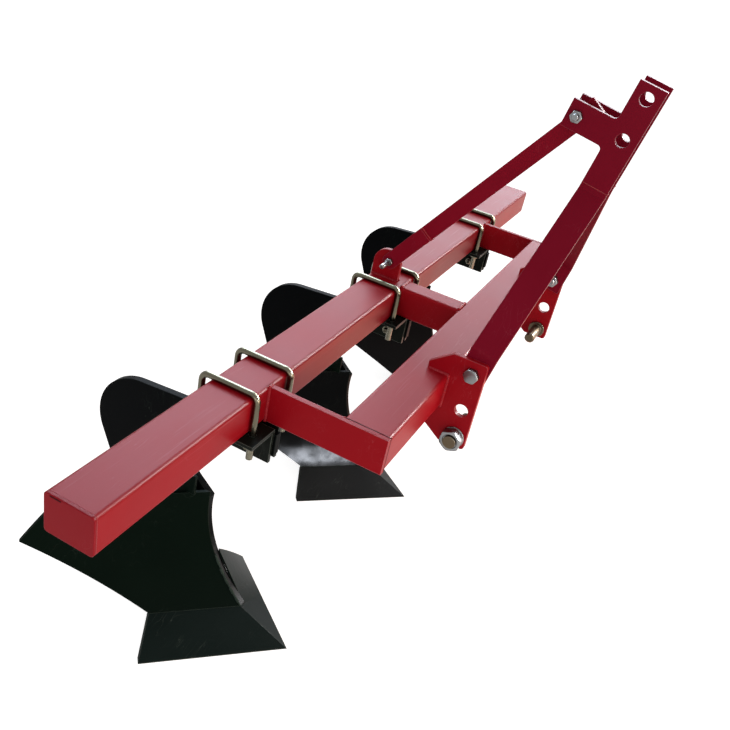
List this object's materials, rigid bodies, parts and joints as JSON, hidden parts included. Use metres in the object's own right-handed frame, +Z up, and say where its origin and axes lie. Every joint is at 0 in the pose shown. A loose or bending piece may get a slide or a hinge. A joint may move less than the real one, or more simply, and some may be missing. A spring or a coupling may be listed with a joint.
{
  "type": "moldboard plough",
  "caption": "Tractor-mounted moldboard plough: welded red tube frame with a leaning hitch mast and stay, carrying black curved plough bodies clamped under the beam by U-bolts.",
  "frame": {"origin": "on the ground under the middle of the plough's box", "axes": "+X to the machine's left along the beam, -Y the way it is pulled, +Z up"},
  "size_m": [2.256, 0.8654, 1.2671],
  "materials": {
    "frame_paint": "gloss crimson paint",
    "body_paint": "satin black paint, scuffed",
    "share_paint": "thin black paint on ground steel",
    "plated_steel": "zinc plated"
  },
  "bodies": {
    "root": {"beam_tube": "frame_paint", "beam_cap_right": "frame_paint", "beam_cap_left": "frame_paint", "front_bar": "frame_paint", "end_plate_right": "frame_paint", "end_plate_left": "frame_paint", "middle_tube": "frame_paint", "stay_ear": "frame_paint", "hitch_bracket_right": "frame_paint", "hitch_bracket_left": "frame_paint", "mast_leg_right": "frame_paint", "mast_leg_left": "frame_paint", "mast_head_right": "frame_paint", "mast_head_left": "frame_paint", "stay_bar": "frame_paint", "stay_cheeks": "frame_paint", "arm_spacers": "frame_paint", "lower_pin_right": "plated_steel", "lower_pin_left": "plated_steel", "pin_washers": "plated_steel", "pin_nuts": "plated_steel", "leg_bolts": "plated_steel", "leg_nuts": "plated_steel", "stay_pin": "plated_steel", "stay_pin_nut": "plated_steel", "arm_bolt": "plated_steel", "arm_nut": "plated_steel", "shank_right": "body_paint", "moldboard_right": "body_paint", "rib_right": "body_paint", "clamp_angles_right": "body_paint", "share_right": "share_paint", "ubolts_right": "plated_steel", "ubolt_nuts_right": "plated_steel", "clamp_bolts_right": "plated_steel", "clamp_nuts_right": "plated_steel", "shank_middle": "body_paint", "moldboard_middle": "body_paint", "rib_middle": "body_paint", "clamp_angles_middle": "body_paint", "share_middle": "share_paint", "ubolts_middle": "plated_steel", "ubolt_nuts_middle": "plated_steel", "clamp_bolts_middle": "plated_steel", "clamp_nuts_middle": "plated_steel", "shank_left": "body_paint", "moldboard_left": "body_paint", "rib_left": "body_paint", "clamp_angles_left": "body_paint", "share_left": "share_paint", "ubolts_left": "plated_steel", "ubolt_nuts_left": "plated_steel", "clamp_bolts_left": "plated_steel", "clamp_nuts_left": "plated_steel"}
  },
  "joints": []
}
